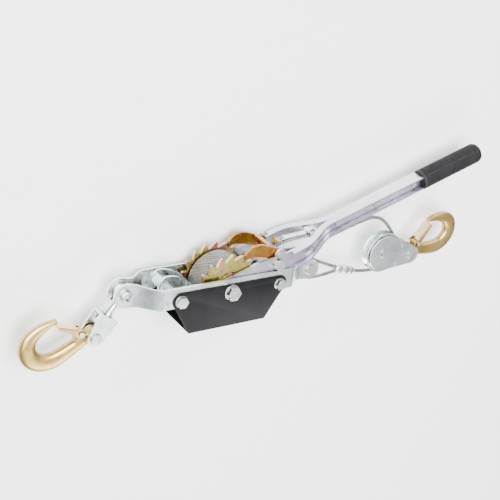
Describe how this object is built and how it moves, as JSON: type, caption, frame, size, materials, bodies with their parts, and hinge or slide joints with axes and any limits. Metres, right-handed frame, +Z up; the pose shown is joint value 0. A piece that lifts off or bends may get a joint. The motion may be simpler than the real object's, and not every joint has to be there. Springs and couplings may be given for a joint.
{
  "type": "come along winch",
  "caption": "Hand cable puller with a ratchet drum in a forked steel frame, a long lever handle, a pulley block and two latched safety hooks.",
  "frame": {"origin": "on the drum axle's line, at the outer face of the axle nut that the tool rests on", "axes": "+X from the front hook to the rear hook, +Z up along the drum axle with the tool lying on its side, +Y towards the side that the handle swings to"},
  "size_m": [0.6926, 0.2354, 0.0785],
  "materials": {
    "zinc": "bright zinc plated sheet steel, slightly blue",
    "lilac_zinc": "zinc plated pressing with a faint lilac passivation tint",
    "fastener": "zinc plated bolts, nuts and pins",
    "black_paint": "satin black powder coat",
    "yellow_zinc": "iridescent yellow-green zinc passivation",
    "gold_zinc": "iridescent gold and orange zinc passivation",
    "hook_gold": "forged steel with pale gold passivation",
    "rope": "galvanised steel wire rope",
    "aluminium": "pressed aluminium ferrule",
    "grip_rubber": "ribbed black moulded rubber"
  },
  "bodies": {
    "frame": {"upper_side_plate": "zinc", "lower_side_plate": "zinc", "drum_guard": "black_paint", "frame_spacers": "fastener", "front_guard_bolt": "fastener", "rear_guard_bolt": "fastener", "guard_nuts": "fastener", "drum_axle": "fastener", "axle_nut": "fastener", "nose_bolt": "fastener", "nose_nut": "fastener", "anchor_pin": "fastener", "anchor_spool": "fastener", "holding_pawl_spring": "fastener", "rope_run": "rope", "rope_eye": "rope", "ferrule": "aluminium"},
    "drum": {"upper_ratchet_wheel": "yellow_zinc", "lower_ratchet_wheel": "yellow_zinc", "drum_core": "zinc", "rope_winding": "rope"},
    "handle": {"upper_handle_arm": "lilac_zinc", "lower_handle_arm": "lilac_zinc", "handle_rivets": "fastener", "grip": "grip_rubber", "fork_bolts": "fastener", "pawl_pin": "fastener", "spring_boss": "fastener", "spring_sleeve": "fastener", "spring_rod": "gold_zinc", "pawl_spring": "fastener"},
    "drive_pawl": {"drive_pawl": "gold_zinc"},
    "holding_pawl": {"holding_pawl": "zinc"},
    "eye_bolt": {"eye_bolt": "zinc", "swivel_nut": "fastener"},
    "clevis": {"hook_clevis": "zinc", "clevis_pin": "fastener"},
    "front_hook": {"front_hook": "hook_gold", "front_latch_pin": "fastener", "front_latch_spring": "fastener"},
    "front_latch": {"front_latch": "gold_zinc"},
    "block": {"upper_block_plate": "zinc", "lower_block_plate": "zinc", "block_axle": "fastener", "block_hook_pin": "fastener"},
    "sheave": {"sheave": "zinc"},
    "rear_hook": {"rear_hook": "hook_gold", "rear_latch_pin": "fastener", "rear_latch_spring": "fastener"},
    "rear_latch": {"rear_latch": "gold_zinc"}
  },
  "joints": [
    {"name": "handle_swing", "type": "hinge", "parent": "frame", "child": "handle", "pos_m": [0, 0, 0.039], "axis": [0, 0, 1], "range_deg": [0, 60]},
    {"name": "drum_spin", "type": "hinge", "parent": "frame", "child": "drum", "pos_m": [0, 0, 0.039], "axis": [0, 0, 1], "range_deg": [0, 60]},
    {"name": "block_haul", "type": "slide", "parent": "frame", "child": "block", "axis": [1, 0, 0], "range_m": [-0.0185, 0], "deforming": ["rope_run"]},
    {"name": "drive_pawl_lift", "type": "hinge", "parent": "handle", "child": "drive_pawl", "pos_m": [0.07142, 0.03866, 0.039], "axis": [0, 0, 1], "range_deg": [-25, 0], "stiffness_Nm_per_rad": 0.3, "springref_deg": 11.46},
    {"name": "holding_pawl_lift", "type": "hinge", "parent": "frame", "child": "holding_pawl", "pos_m": [-0.073, 0, 0.039], "axis": [0, 0, 1], "range_deg": [0, 20], "stiffness_Nm_per_rad": 0.3, "springref_deg": -11.46},
    {"name": "nose_pivot", "type": "hinge", "parent": "frame", "child": "eye_bolt", "pos_m": [-0.137, 0.007, 0.039], "axis": [0, 0, 1], "range_deg": [-130, 20]},
    {"name": "clevis_swivel", "type": "hinge", "parent": "eye_bolt", "child": "clevis", "pos_m": [-0.137, 0.007, 0.039], "axis": [-0.5807, -0.8141, 0], "continuous": true},
    {"name": "front_hook_pivot", "type": "hinge", "parent": "clevis", "child": "front_hook", "pos_m": [-0.17324, -0.0438, 0.039], "axis": [0, 0, 1], "range_deg": [-40, 90]},
    {"name": "front_latch_pivot", "type": "hinge", "parent": "front_hook", "child": "front_latch", "pos_m": [-0.1908, -0.03539, 0.039], "axis": [0, 0, 1], "range_deg": [0, 28], "stiffness_Nm_per_rad": 0.05, "springref_deg": -17.19},
    {"name": "sheave_spin", "type": "hinge", "parent": "block", "child": "sheave", "pos_m": [0.273, 0.002, 0.039], "axis": [0, 0, 1], "range_deg": [0, 40]},
    {"name": "rear_hook_pivot", "type": "hinge", "parent": "block", "child": "rear_hook", "pos_m": [0.326, -0.0078, 0.039], "axis": [0, 0, 1], "range_deg": [-90, 30]},
    {"name": "rear_latch_pivot", "type": "hinge", "parent": "rear_hook", "child": "rear_latch", "pos_m": [0.33695, 0.00831, 0.039], "axis": [0, 0, 1], "range_deg": [-28, 0], "stiffness_Nm_per_rad": 0.05, "springref_deg": 17.19}
  ],
  "couplings": [
    {"joint": "drum_spin", "follows": "handle_swing", "ratio": 1},
    {"joint": "block_haul", "follows": "handle_swing", "m_per_rad": -0.01755},
    {"joint": "sheave_spin", "follows": "handle_swing", "ratio": 0.65}
  ]
}
